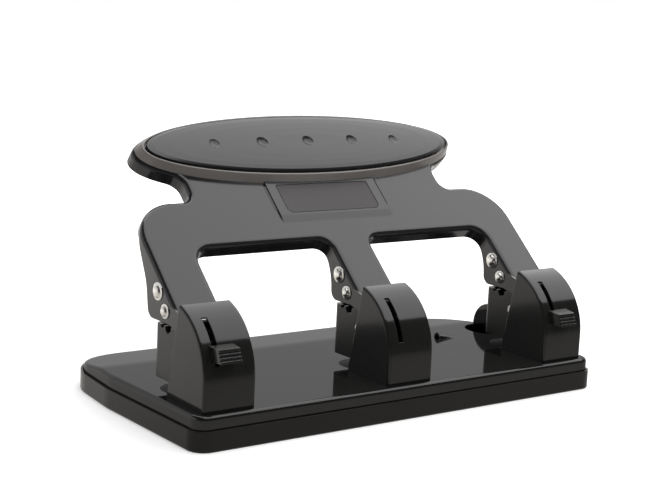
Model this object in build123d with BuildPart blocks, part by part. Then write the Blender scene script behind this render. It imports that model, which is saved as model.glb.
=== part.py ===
from build123d import *
import os
from math import cos, pi, radians, sin, sqrt

os.makedirs("parts", exist_ok=True)

# Row frame: X runs along the three heads, Y towards the paper side, Z up.
# The origin is on the underside, below the middle punch. All sizes are in mm.

# The three heads
hole_spacing = 108.0
head_names = ["left", "middle", "right"]
head_places = [-hole_spacing, 0.0, hole_spacing]

# Tray plan: straight front, sides that part slightly, rounded rear
tray_front = 47.4
tray_rear = 97.5
tray_front_overhang = 20.8
tray_side_overhang = 22.4
tray_rear_overhang = 17.2
tray_front_half = hole_spacing + tray_front_overhang
tray_side_half = hole_spacing + tray_side_overhang
tray_side_y = 38.0
tray_rear_half = hole_spacing + tray_rear_overhang
front_corner_radius = 9.0
side_bend_radius = 60.0
rear_corner_radius = 34.0
tray_height = 10.2
tray_floor = 2.0
tray_wall = 3.2
tray_lip = 1.2
ledge_height = 8.8
foot_chamfer = 0.6

# Base plate, a folded sheet whose skirt stands on the tray's ledge
plate_top = 17.0
plate_sheet = 1.2
plate_gap = 0.3
plate_edge_radius = 2.2
plate_bend_y = 53.0
plate_bend_radius = 60.0
plate_rear_fall = 5.7

# Clearances
running_gap = 0.05
fit_gap = 0.02
side_gap = 0.3
loose_gap = 0.2

# Punch frame, a folded box with a throat for the paper
frame_width = 21.6
frame_sheet = 2.0
frame_fold_radius = 3.0
frame_front = 36.0
frame_front_top = 38.0
frame_rear = 11.0
frame_top = 49.1
paper_stop_y = -7.5
throat_top = 22.6
frame_ear_radius = 5.2
frame_ear_run = 10.4
notch_radius = 2.6
rear_notch_radius = 1.5
rear_notch_y = 4.0
tie_pin_y = -9.9
tie_pin_z = 39.8
tie_pin_radius = 2.5

# Lever hinge and drive. The drive rivet swings half the throw above and
# half below its pivot's height, so that it moves the punch almost straight.
pivot_y = -16.5
pivot_z = 52.7
pivot_radius = 2.25
lever_throw = 32.0
drive_arm = 15.6
drive_rivet_radius = 2.0
drive_bush_radius = 3.5
drive_y = pivot_y + drive_arm * cos(radians(lever_throw / 2))
drive_z = pivot_z + drive_arm * sin(radians(lever_throw / 2))
stroke = 2 * drive_arm * sin(radians(lever_throw / 2))

# Lever, one pressed sheet with its edges turned back
lever_tilt = 42.0
lever_y = -9.9
lever_z = 60.0
lever_sheet = 1.5
lever_bend_radius = 2.8
arm_width = 25.2
ear_radius = 4.5
ear_root_y = -6.0
face_end = -3.0
press_depth = 30.0
shoulder_height = 64.6
shoulder_radius = 24.0
neck_inset = 24.8
neck_half = hole_spacing - neck_inset
neck_radius = 6.0
oval_neck_radius = 9.0
grip_centre = 96.6
oval_end_border = 1.2
oval_side_border = 0.9
arch_top = 34.6
arch_inner_radius = 7.5
arch_outer_radius = 9.5
edge_depth = 8.5
shoulder_depth_top = 62.0
arm_depth_top = 46.0
arm_depth = 4.5
arch_depth_end = 33.0
arm_waist_z = 67.5
arm_waist_y = 17.6
arm_heel_y = 15.0
inner_waist_y = 13.0
inner_heel_y = 12.0
heel_z = 51.2
heel_radius = 5.0
waist_radius = 30.0

# Upper rivets
upper_rivet_y = 5.8
upper_rivet_z = 65.3
upper_rivet_radius = 2.25
upper_head_radius = 4.5
drive_head_radius = 3.7
rivet_head_height = 2.1

# Head cover, a folded sheet with a curved front
cover_width = 28.4
cover_sheet = 1.0
cover_fold_radius = 1.5
cover_front = 41.5
cover_arc_radius = 34.7
cover_arc_z = 30.2
cover_arc_end = 73.0
cover_foot_y = -7.6
cover_tab_depth = 2.6
cover_tab_length = 6.0
cover_tab_places = [-31.0, -13.0]
slot_width = 3.1
slot_place = -6.6
slot_low = 14.0
slot_high = 55.0
cover_arc_y = cover_arc_radius - cover_front

# Slider in the slots of the outer covers
slider_heads = {"left": 24.6, "right": 19.6}
slider_base_left = 9.7
slider_base_right = 3.3
slider_front_left = 8.9
slider_front_right = 2.7
slider_base_height = 7.8
slider_front_height = 7.0
slider_proud = 6.7
slider_front_drop = 3.5
slider_rib_count = 3
slider_groove_width = 0.9
slider_groove_depth = 0.6
stem_half_angle = 1.7
retainer_half_angle = 5.0
retainer_width = 10.0
retainer_sheet = 1.2

# Punch, guide, spring and die
punch_radius = 3.5
punch_head_radius = 6.0
punch_head_height = 2.0
punch_head_gap = 0.3
punch_retreat = 0.3
punch_relief = 1.4
edge_chamfer = 0.4
guide_length = 18.0
guide_height = 10.4
spring_radius = 4.7
spring_wire = 1.2
spring_turns = 5
spring_seat_gap = 0.05
die_radius = 11.5
die_flange_radius = 13.0
die_flange_height = 2.2
die_relief_radius = 4.5
die_land = 2.0

# Screws
frame_screw_radius = 1.5
frame_screw_head_radius = 3.0
frame_screw_head_height = 1.5
frame_screw_end = 1.0
frame_screw_places = [-30.0, -20.0]

# Grip
ring_height = 4.8
ring_floor = 2.4
ring_edge_radius = 0.6
pad_half_length = 99.3
pad_half_width = 19.4
pad_gap = 1.7
pad_rear_gap = 0.6
ring_rim = 1.0
ring_end_slope = 2.2
ring_side_slope = 2.4
ring_foot_length = pad_half_length + pad_gap + ring_rim + ring_end_slope
ring_foot_width = pad_half_width + pad_gap + ring_rim + ring_side_slope
oval_half_length = ring_foot_length + oval_end_border
oval_half_width = ring_foot_width + oval_side_border
pad_edge_height = 5.2
pad_crown = 2.0
pad_crown_rings = 5
dimple_spacing = 30.0
dimple_count = 5
dimple_radius = 5.5
dimple_depth = 1.4
grip_screw_radius = 2.0
grip_screw_head_radius = 3.6
grip_screw_head_height = 1.8
grip_screw_places = [-75.0, -27.0, 27.0, 75.0]

# Label, in a sunken floor of its seat. The seat is the lever's sheet between
# two slits, pressed up, with a slope at its low end.
label_half = 30.0
label_low = 52.6
label_high = 71.2
label_sheet = 0.4
label_corner = 2.8
label_high_corner = 1.0
label_gap = 0.3
seat_rim = 5.9
seat_rise = 0.8
seat_floor = 0.3
seat_low = 50.8
seat_foot = 46.6
seat_high = 74.2
slit_width = 1.2
slit_low = 55.0
slit_high = 72.6

# Tongue cut out of the base plate and turned up, behind the right head
tongue_inset = 8.6
tongue_y = 33.6
tongue_half = 13.4
tongue_top = 31.8
tongue_bend_radius = 0.6
tongue_slit = 0.3
tongue_window = 15.6

# Hood pressed up out of the base plate, open at its wide end
hood_x = 77.4
hood_y = 28.4
hood_turn = -15.5
hood_length = 11.5
hood_radius = 4.4
hood_tip_radius = 1.5

# Places that follow from the sizes above
plate_under = plate_top - plate_sheet
tongue_x = tray_side_half - tongue_inset
seat_half = label_half + label_gap + seat_rim
frame_half = frame_width / 2
frame_inner = frame_half - frame_sheet
cover_half = cover_width / 2
cover_inner = cover_half - cover_sheet
arm_half = arm_width / 2
arm_inner = arm_half - lever_sheet
lever_half = hole_spacing + arm_half
cover_arc_inner = cover_arc_radius - cover_sheet
punch_head_top = drive_z - drive_bush_radius - punch_head_gap
punch_head_under = punch_head_top - punch_head_height
punch_tip = throat_top + punch_retreat
guide_top = throat_top + guide_height
beyond = 20.0

lever_plane = Plane(
    origin=(0, lever_y, lever_z),
    x_dir=(1, 0, 0),
    z_dir=(0, -sin(radians(lever_tilt)), cos(radians(lever_tilt))),
)


def on_lever(along, proud):
    """Y and Z of a point at a distance along the lever's face and proud of it."""
    c, s = cos(radians(lever_tilt)), sin(radians(lever_tilt))
    return (lever_y + along * c - proud * s, lever_z + along * s + proud * c)


def rounded(points, radii):
    """Closed outline whose corners are rounded, each to its own radius."""
    with BuildSketch() as shape:
        with BuildLine():
            Polyline(*points, close=True)
        make_face()
        for point, radius in zip(points, radii):
            if radius:
                corner = shape.vertices().sort_by_distance(Vector(*point, 0))[0]
                fillet(corner, radius=radius)
    return shape.sketch


def base_plan(inset):
    """Plan of the base, drawn in by an inset."""
    half = [
        (tray_front_half, -tray_front),
        (tray_side_half, tray_side_y),
        (tray_rear_half, tray_rear),
    ]
    mirrored = [(-x, y) for x, y in reversed(half)]
    radii = [front_corner_radius, side_bend_radius, rear_corner_radius]
    outline = rounded(half + mirrored, radii + radii[::-1])
    if not inset:
        return outline
    with BuildSketch() as plan:
        add(outline)
        offset(amount=-inset, kind=Kind.ARC, mode=Mode.REPLACE)
    return plan.sketch


def plate_block(inset, top, edge_radius):
    """Solid block under one face of the base plate's sheet."""
    plan = base_plan(inset)
    slope_end = tray_rear + beyond
    fall = plate_rear_fall * (slope_end - plate_bend_y) / (tray_rear - plate_bend_y)
    side = rounded(
        [
            (-tray_front - beyond, 0),
            (-tray_front - beyond, top),
            (plate_bend_y, top),
            (slope_end, top - fall),
            (slope_end, 0),
        ],
        [0, 0, plate_bend_radius, 0, 0],
    )
    with BuildPart() as block:
        with BuildSketch(Plane.XY.offset(ledge_height)):
            add(plan)
        extrude(amount=top - ledge_height)
        with BuildSketch(Plane.YZ):
            add(side)
        extrude(amount=tray_side_half + beyond, both=True, mode=Mode.INTERSECT)
        # The top faces are those that lie nearer level than upright
        tops = [f for f in block.faces() if f.normal_at().Z > cos(pi / 4)]
        rim = []
        for face in tops:
            for edge in face.edges():
                owners = [f for f in tops if any(edge.is_same(e) for e in f.edges())]
                if len(owners) == 1:
                    rim.append(edge)
        fillet(rim, radius=edge_radius)
    return block.part


def across(places, y, z):
    """Locations for bores and shafts that lie along X, one at each place."""
    return [Location((x, y, z), (0, 90, 0)) for x in places]


def arc_band(inner, outer, low, high):
    """Side view of a band about the cover's arc, between two angles."""
    centre = (cover_arc_y, cover_arc_z)
    with BuildSketch() as band:
        with BuildLine():
            far = CenterArc(centre, outer, 180 - high, high - low)
            near = CenterArc(centre, inner, 180 - high, high - low)
            Line(far @ 0, near @ 0)
            Line(far @ 1, near @ 1)
        make_face()
    return band.sketch


def cover_profile(sheet, rear_reach):
    """Side view of a head cover, drawn in from its front by the sheet."""
    front = -cover_front + sheet
    arc = cover_arc_radius - sheet
    end = radians(cover_arc_end)
    top = (cover_arc_y - arc * cos(end), cover_arc_z + arc * sin(end))
    foot = plate_top - sheet
    with BuildSketch() as profile:
        with BuildLine():
            Line((front, foot), (front, cover_arc_z))
            CenterArc((cover_arc_y, cover_arc_z), arc, 180, -cover_arc_end)
            Polyline(top, (cover_foot_y + rear_reach, foot), (front, foot))
        make_face()
    return profile.sketch


def lever_outline(inset):
    """Outline of the lever in the plane of its face, drawn in by an inset."""
    foot = -2 * press_depth
    shoulder = shoulder_height - inset
    neck = neck_half - inset
    half = [(lever_half - inset, foot), (lever_half - inset, shoulder), (neck, shoulder)]
    half.append((neck, grip_centre))
    mirrored = [(-x, v) for x, v in reversed(half)]
    radii = [0, shoulder_radius - inset, neck_radius + inset, 0]
    body = rounded(half + mirrored, radii + radii[::-1])
    arches = []
    for side in (1, -1):
        inner = side * (arm_half - inset)
        outer = side * (hole_spacing - arm_half + inset)
        top = arch_top + inset
        corners = [(inner, foot - beyond), (inner, top), (outer, top), (outer, foot - beyond)]
        bends = [0, arch_inner_radius + inset, arch_outer_radius + inset, 0]
        arches.append(rounded(corners, bends))
    with BuildSketch() as outline:
        add(body)
        with Locations((0, grip_centre)):
            Ellipse(oval_half_length - inset, oval_half_width - inset)
        sides = [v for v in outline.vertices() if abs(abs(v.X) - neck) < fit_gap]
        waists = [v for v in sides if v.Y > shoulder + neck_radius + inset + fit_gap]
        fillet(waists, radius=oval_neck_radius + inset)
        for arch in arches:
            add(arch, mode=Mode.SUBTRACT)
    return outline.sketch


def lever_block(outline, proud, edge_radius):
    """Solid block under one face of the lever's sheet."""
    plane = lever_plane.offset(proud)
    with BuildPart() as block:
        with BuildSketch(plane):
            add(outline)
        extrude(amount=-press_depth)
        front = block.faces().sort_by(Axis((0, 0, 0), lever_plane.z_dir))[-1]
        fillet(front.edges(), radius=edge_radius)
    return block.part


def flange_profile(shoulder_points, waist_y, heel_y):
    """Side view of the lever, with its flange's rear edge."""
    far = grip_centre + oval_half_width + beyond
    points = [
        on_lever(face_end, lever_sheet),
        on_lever(far, lever_sheet),
        on_lever(far, -edge_depth),
        *[on_lever(v, -depth) for v, depth in shoulder_points],
        (waist_y, arm_waist_z),
        (heel_y, heel_z),
        (ear_root_y, heel_z),
        on_lever(face_end, -lever_sheet),
    ]
    bends = [heel_radius] * len(shoulder_points)
    return rounded(points, [0, 0, 0, *bends, waist_radius, heel_radius, 0, 0])


def label_seat(gap):
    """Raised block of the label's seat, grown by a gap."""
    with BuildPart() as seat:
        for proud, low in ((0, seat_foot), (seat_rise + gap, seat_low)):
            with BuildSketch(lever_plane.offset(proud)):
                with Locations((0, (low + seat_high + gap) / 2)):
                    Rectangle(2 * (seat_half + gap), seat_high + gap - low)
        loft()
    return seat.part


def label_outline(gap):
    """Outline of the label on the lever, grown by a gap."""
    half = label_half + gap
    low = label_low - gap
    high = label_high + gap
    corner = label_corner + gap
    return rounded(
        [(-half, low), (half, low), (half, high), (-half, high)],
        [corner, corner, label_high_corner, label_high_corner],
    )


def spring_route(radius, low, high, turns):
    """Round a spring's coils in pairs of tangent arcs, one pair for each quarter turn."""
    quarter = pi / 2
    climb = (high - low) / (2 * pi * turns)

    def place(step):
        turn = quarter * step
        return Vector(radius * cos(turn), radius * sin(turn), low + climb * turn)

    def heading(step):
        turn = quarter * step
        return Vector(-radius * sin(turn), radius * cos(turn), climb).normalized()

    arcs = []
    for step in range(round(2 * pi * turns / quarter)):
        start, end = place(step), place(step + 1)
        leave, arrive = heading(step), heading(step + 1)
        chord = end - start
        both = leave + arrive
        spare = 4 - both.dot(both)
        lean = chord.dot(both)
        reach = (sqrt(lean * lean + spare * chord.dot(chord)) - lean) / spare
        first = start + leave * reach
        second = end - arrive * reach
        middle = (first + second) * 0.5
        arcs.append(TangentArc(start, middle, tangent=leave))
        arcs.append(TangentArc(middle, end, tangent=second - first))
    return Wire(arcs)


# Waste tray: a shallow moulded tray with a ledge inside its rim
tray_plan = base_plan(0)
tray_hollow = base_plan(tray_wall)
tray_rebate = base_plan(tray_lip)
with BuildPart() as waste_tray:
    with BuildSketch():
        add(tray_plan)
    extrude(amount=tray_height)
    chamfer(waste_tray.faces().sort_by(Axis.Z)[0].edges(), length=foot_chamfer)
    with BuildSketch(Plane.XY.offset(tray_floor)):
        add(tray_hollow)
    extrude(amount=tray_height, mode=Mode.SUBTRACT)
    with BuildSketch(Plane.XY.offset(ledge_height)):
        add(tray_rebate)
    extrude(amount=tray_height, mode=Mode.SUBTRACT)
waste_tray.part.label = "waste_tray"
export_step(waste_tray.part, "parts/waste_tray.step")

# Base plate: a folded sheet with its seats for the dies, covers and screws
plate_inset = tray_lip + plate_gap
plate_outside = plate_block(plate_inset, plate_top, plate_edge_radius)
plate_inside = plate_block(
    plate_inset + plate_sheet, plate_under, plate_edge_radius - plate_sheet
)
tab_x = cover_half - cover_sheet / 2

# Tongue: a half-round leaf of the plate that stands on a bend
bend_x = tongue_x + plate_sheet + tongue_bend_radius
bend_z = plate_top + tongue_bend_radius
window_x = bend_x - tongue_window + tongue_half
shoulder = tongue_top - tongue_half
with BuildPart() as tongue:
    with BuildSketch(Plane.YZ.offset(tongue_x)):
        with Locations((tongue_y, shoulder)):
            Circle(tongue_half)
        with Locations((tongue_y, shoulder - tongue_half)):
            Rectangle(2 * tongue_half, 2 * tongue_half, mode=Mode.SUBTRACT)
        with Locations((tongue_y, (shoulder + bend_z) / 2)):
            Rectangle(2 * tongue_half, shoulder - bend_z)
    extrude(amount=plate_sheet)
    with BuildSketch(Plane.XZ.offset(-tongue_y)):
        with BuildLine():
            far = CenterArc((bend_x, bend_z), tongue_bend_radius + plate_sheet, 180, 90)
            near = CenterArc((bend_x, bend_z), tongue_bend_radius, 180, 90)
            Line(far @ 0, near @ 0)
            Line(far @ 1, near @ 1)
        make_face()
    extrude(amount=tongue_half, both=True)

# Hood: a half cone of the plate's sheet
hood_way = (cos(radians(hood_turn)), sin(radians(hood_turn)), 0)
hood_mouth = Plane(origin=(hood_x, hood_y, plate_under), x_dir=(0, 0, 1), z_dir=hood_way)
with BuildPart() as hood:
    with BuildSketch(hood_mouth):
        Circle(hood_radius)
    with BuildSketch(hood_mouth.offset(hood_length)):
        Circle(hood_tip_radius)
    loft()
    split(bisect_by=Plane.XY.offset(plate_under), keep=Keep.TOP)
with BuildPart() as hood_hollow:
    with BuildSketch(hood_mouth.offset(-plate_sheet)):
        Circle(hood_radius - plate_sheet)
    with BuildSketch(hood_mouth.offset(hood_length - plate_sheet)):
        Circle(hood_tip_radius - plate_sheet)
    loft()

with BuildPart() as base_plate:
    add(plate_outside)
    add(plate_inside, mode=Mode.SUBTRACT)
    with BuildSketch(Plane.XY.offset(plate_top)):
        with Locations(*[(x, 0) for x in head_places]):
            Circle(die_radius + side_gap / 2)
        with Locations(*[(x, y) for x in head_places for y in frame_screw_places]):
            Circle(frame_screw_radius + fit_gap)
        tabs = [
            (x + side * tab_x, y)
            for x in head_places
            for side in (1, -1)
            for y in cover_tab_places
        ]
        with Locations(*tabs):
            Rectangle(cover_sheet + loose_gap, cover_tab_length + loose_gap)
        with Locations((window_x, tongue_y)):
            Circle(tongue_half + tongue_slit)
        with Locations(((window_x + bend_x) / 2, tongue_y)):
            Rectangle(bend_x - window_x, 2 * (tongue_half + tongue_slit))
        with Locations((bend_x + tongue_half, tongue_y)):
            Rectangle(2 * tongue_half, 2 * tongue_half + beyond, mode=Mode.SUBTRACT)
    extrude(amount=-2 * plate_sheet, mode=Mode.SUBTRACT)
    add(tongue.part)
    add(hood.part)
    add(hood_hollow.part, mode=Mode.SUBTRACT)
base_plate.part.label = "base_plate"
export_step(base_plate.part, "parts/base_plate.step")

for name, place in zip(head_names, head_places):
    # Die: a flanged steel disc, flush with the plate
    with BuildPart() as die:
        with BuildSketch(Plane.XY.offset(plate_under - die_flange_height)):
            with Locations((place, 0)):
                Circle(die_flange_radius)
        extrude(amount=die_flange_height)
        with BuildSketch(Plane.XY.offset(plate_under)):
            with Locations((place, 0)):
                Circle(die_radius)
        extrude(amount=plate_sheet)
        with BuildSketch(Plane.XY.offset(plate_top)):
            with Locations((place, 0)):
                Circle(punch_radius + running_gap)
        extrude(amount=-2 * die_flange_height, mode=Mode.SUBTRACT)
        with BuildSketch(Plane.XY.offset(plate_top - die_land)):
            with Locations((place, 0)):
                Circle(die_relief_radius)
        extrude(amount=-2 * die_flange_height, mode=Mode.SUBTRACT)
    die.part.label = f"die_{name}"
    export_step(die.part, f"parts/die_{name}.step")

    # Punch frame: floor, front and rear webs and two walls of one folded sheet
    pressed_z = drive_z - stroke
    inside_front = -frame_front + frame_sheet
    inside_rear = frame_rear - frame_sheet
    wall_corners = [
        (-frame_front, plate_top),
        (-frame_front, frame_front_top),
        (pivot_y - frame_ear_radius, pivot_z),
        (pivot_y + frame_ear_radius, pivot_z),
        (pivot_y + frame_ear_run, frame_top),
        (frame_rear, frame_top),
        (frame_rear, throat_top),
        (paper_stop_y, throat_top),
        (paper_stop_y, plate_top),
    ]
    with BuildPart() as punch_frame:
        with BuildSketch(Plane.YZ.offset(place)):
            with BuildLine():
                Polyline(*wall_corners, close=True)
            make_face()
            with Locations((pivot_y, pivot_z)):
                Circle(frame_ear_radius)
        extrude(amount=frame_half, both=True)
        with BuildSketch(Plane.YZ.offset(place)):
            with Locations((drive_y, pressed_z)):
                Circle(notch_radius)
            with Locations((drive_y, pressed_z + notch_radius / 2)):
                Rectangle(2 * notch_radius, notch_radius)
            with Locations((rear_notch_y, frame_top)):
                Circle(rear_notch_radius)
        extrude(amount=frame_half, both=True, mode=Mode.SUBTRACT)
        uprights = punch_frame.edges().filter_by(Axis.Z)
        fillet(uprights.group_by(Axis.Y)[0], radius=frame_fold_radius)
        fillet(uprights.group_by(Axis.Y)[-1], radius=frame_fold_radius)
        with BuildSketch(Plane.XY.offset(plate_top + frame_sheet)):
            with Locations((place, (inside_rear + inside_front) / 2)):
                Rectangle(2 * frame_inner, inside_rear - inside_front)
        extrude(amount=pivot_z, mode=Mode.SUBTRACT)
        with BuildSketch(Plane.XY.offset(plate_top)):
            with Locations(*[(place, y) for y in frame_screw_places]):
                Circle(frame_screw_radius + fit_gap)
        extrude(amount=frame_sheet, mode=Mode.SUBTRACT)
        with Locations(*across([place], pivot_y, pivot_z)):
            Cylinder(pivot_radius + fit_gap, 2 * frame_half, mode=Mode.SUBTRACT)
        with Locations(*across([place], tie_pin_y, tie_pin_z)):
            Cylinder(tie_pin_radius + fit_gap, 2 * frame_half, mode=Mode.SUBTRACT)
    punch_frame.part.label = f"punch_frame_{name}"
    export_step(punch_frame.part, f"parts/punch_frame_{name}.step")

    # Guide block: carries the punch between the frame's walls
    with BuildPart() as punch_guide:
        with BuildSketch(Plane.XY.offset(throat_top)):
            with Locations((place, 0)):
                Rectangle(2 * frame_inner, guide_length)
                Circle(punch_radius + running_gap, mode=Mode.SUBTRACT)
        extrude(amount=guide_height)
        top_face = punch_guide.faces().sort_by(Axis.Z)[-1]
        chamfer(top_face.outer_wire().edges(), length=edge_chamfer)
    punch_guide.part.label = f"punch_guide_{name}"
    export_step(punch_guide.part, f"parts/punch_guide_{name}.step")

    # Punch: a ground pin with a flat head and a cutting edge relieved in the middle
    with BuildPart() as punch_pin:
        with BuildSketch(Plane.XY.offset(punch_tip)):
            with Locations((place, 0)):
                Circle(punch_radius)
        extrude(amount=punch_head_under - punch_tip)
        with BuildSketch(Plane.XY.offset(punch_head_under)):
            with Locations((place, 0)):
                Circle(punch_head_radius)
        extrude(amount=punch_head_height)
        chamfer(punch_pin.faces().sort_by(Axis.Z)[-1].edges(), length=edge_chamfer)
        with BuildSketch(Plane.XZ.offset(-punch_radius)):
            with BuildLine():
                Polyline(
                    (place - punch_radius + edge_chamfer, punch_tip),
                    (place + punch_radius - edge_chamfer, punch_tip),
                    (place, punch_tip + punch_relief),
                    close=True,
                )
            make_face()
        extrude(amount=2 * punch_radius, mode=Mode.SUBTRACT)
    punch_pin.part.label = f"punch_pin_{name}"
    export_step(punch_pin.part, f"parts/punch_pin_{name}.step")

    # Return spring: lifts the punch's head off the guide block
    seat = spring_wire / 2 + spring_seat_gap
    route = spring_route(spring_radius, guide_top + seat, punch_head_under - seat, spring_turns)
    route = route.moved(Location((place, 0, 0)))
    with BuildPart() as return_spring:
        with BuildSketch(Plane(origin=route @ 0, z_dir=route % 0)):
            Circle(spring_wire / 2)
        sweep(path=route)
    return_spring.part.label = f"return_spring_{name}"
    export_step(return_spring.part, f"parts/return_spring_{name}.step")

    # Head cover: a folded sheet whose tabs pass through the base plate
    outside = cover_profile(0, 0)
    inside = cover_profile(cover_sheet, beyond)
    slot = arc_band(
        cover_arc_inner - cover_sheet, cover_arc_radius + cover_sheet, slot_low, slot_high
    )
    with BuildPart() as head_cover:
        with BuildSketch(Plane.YZ.offset(place)):
            add(outside)
        extrude(amount=cover_half, both=True)
        fronts = [f for f in head_cover.faces() if f.normal_at().Y < -fit_gap]
        folds = ShapeList(e for f in fronts for e in f.edges().filter_by(Axis.X, reverse=True))
        fillet(folds, radius=cover_fold_radius)
        with BuildSketch(Plane.YZ.offset(place)):
            add(inside)
        extrude(amount=cover_inner, both=True, mode=Mode.SUBTRACT)
        with BuildSketch(Plane.YZ.offset(place + slot_place)):
            add(slot)
        extrude(amount=slot_width / 2, both=True, mode=Mode.SUBTRACT)
        with BuildSketch(Plane.XY.offset(plate_top)):
            feet = [(place + side * tab_x, y) for side in (1, -1) for y in cover_tab_places]
            with Locations(*feet):
                Rectangle(cover_sheet, cover_tab_length)
        extrude(amount=-cover_tab_depth)
    head_cover.part.label = f"head_cover_{name}"
    export_step(head_cover.part, f"parts/head_cover_{name}.step")

    # Pivot pin: held in the frame's walls, with the lever's ears outside them
    pivot_length = cover_inner - side_gap
    with BuildPart() as pivot_pin:
        with Locations(*across([place], pivot_y, pivot_z)):
            Cylinder(pivot_radius, 2 * pivot_length)
        chamfer(pivot_pin.edges().filter_by(GeomType.CIRCLE), length=edge_chamfer)
    pivot_pin.part.label = f"pivot_pin_{name}"
    export_step(pivot_pin.part, f"parts/pivot_pin_{name}.step")

    # Drive bush: turns on the lower rivet and presses on the punch's head
    with BuildPart() as drive_bush:
        with Locations(*across([place], drive_y, drive_z)):
            Cylinder(drive_bush_radius, 2 * (frame_inner - side_gap))
        with Locations(*across([place], drive_y, drive_z)):
            Cylinder(drive_rivet_radius + running_gap, 2 * frame_half, mode=Mode.SUBTRACT)
    drive_bush.part.label = f"drive_bush_{name}"
    export_step(drive_bush.part, f"parts/drive_bush_{name}.step")

# Tie pins: bright pins through the frames' walls
with BuildPart() as frame_tie_pins:
    with Locations(*across(head_places, tie_pin_y, tie_pin_z)):
        Cylinder(tie_pin_radius, 2 * frame_half)
frame_tie_pins.part.label = "frame_tie_pins"
export_step(frame_tie_pins.part, "parts/frame_tie_pins.step")

# Frame screws: from below the plate into the frames' floors
screw_top = plate_top + frame_sheet + frame_screw_end
with BuildPart() as frame_screws:
    with BuildSketch(Plane.XY.offset(plate_under - frame_screw_head_height)):
        with Locations(*[(x, y) for x in head_places for y in frame_screw_places]):
            Circle(frame_screw_head_radius)
    extrude(amount=frame_screw_head_height)
    with BuildSketch(Plane.XY.offset(plate_under)):
        with Locations(*[(x, y) for x in head_places for y in frame_screw_places]):
            Circle(frame_screw_radius)
    extrude(amount=screw_top - plate_under)
frame_screws.part.label = "frame_screws"
export_step(frame_screws.part, "parts/frame_screws.step")

# Sliders: ribbed blocks on the outer covers, with a plate inside each cover
for name, angle in slider_heads.items():
    head = head_places[head_names.index(name)]
    place = head + slot_place
    outward = (0, -cos(radians(angle)), sin(radians(angle)))
    seat_plane = Plane(
        origin=(head, cover_arc_y, cover_arc_z),
        x_dir=(1, 0, 0),
        z_dir=outward,
    )
    stem = arc_band(
        cover_arc_inner - loose_gap,
        cover_arc_radius + slider_proud / 2,
        angle - stem_half_angle,
        angle + stem_half_angle,
    )
    base_x = (slider_base_right - slider_base_left) / 2
    front_x = (slider_front_right - slider_front_left) / 2
    front_radius = cover_arc_radius + slider_proud
    with BuildPart() as cover_slider:
        with BuildSketch(seat_plane.offset(cover_arc_inner)):
            with Locations((base_x, 0)):
                Rectangle(slider_base_right + slider_base_left, slider_base_height)
        with BuildSketch(seat_plane.offset(front_radius)):
            with Locations((front_x, -slider_front_drop)):
                Rectangle(slider_front_right + slider_front_left, slider_front_height)
        loft()
        with BuildSketch(seat_plane.offset(front_radius)):
            pitch = slider_front_height / (slider_rib_count + 1)
            with Locations((front_x, -slider_front_drop)):
                with GridLocations(0, pitch, 1, slider_rib_count):
                    Rectangle(slider_base_right + slider_base_left, slider_groove_width)
        extrude(amount=-slider_groove_depth, mode=Mode.SUBTRACT)
        with Locations(*across([head], cover_arc_y, cover_arc_z)):
            Cylinder(cover_arc_radius + loose_gap, 2 * cover_half, mode=Mode.SUBTRACT)
        with BuildSketch(Plane.YZ.offset(place)):
            add(stem)
        extrude(amount=slot_width / 2 - loose_gap, both=True)
    cover_slider.part.label = f"cover_slider_{name}"
    export_step(cover_slider.part, f"parts/cover_slider_{name}.step")

    retainer = arc_band(
        cover_arc_inner - loose_gap - retainer_sheet,
        cover_arc_inner - loose_gap,
        angle - retainer_half_angle,
        angle + retainer_half_angle,
    )
    with BuildPart() as slider_retainer:
        with BuildSketch(Plane.YZ.offset(place)):
            add(retainer)
        extrude(amount=retainer_width / 2, both=True)
    slider_retainer.part.label = f"slider_retainer_{name}"
    export_step(slider_retainer.part, f"parts/slider_retainer_{name}.step")

# Lever: an oval under the grip, a beam and three arms, pressed from one sheet
lever_outside = lever_block(lever_outline(0), 0, lever_bend_radius)
lever_inside = lever_block(
    lever_outline(lever_sheet), -lever_sheet, lever_bend_radius - lever_sheet
)
outer_flange = flange_profile(
    [(shoulder_depth_top, edge_depth), (arm_depth_top, arm_depth)], arm_waist_y, arm_heel_y
)
inner_flange = flange_profile([(arch_depth_end, edge_depth)], inner_waist_y, inner_heel_y)
with BuildPart() as lever_reach:
    with BuildSketch(Plane.YZ):
        add(inner_flange)
    extrude(amount=hole_spacing, both=True)
    for side in (1, -1):
        with BuildSketch(Plane.YZ.offset(side * hole_spacing)):
            add(outer_flange)
        extrude(amount=side * beyond)

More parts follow.
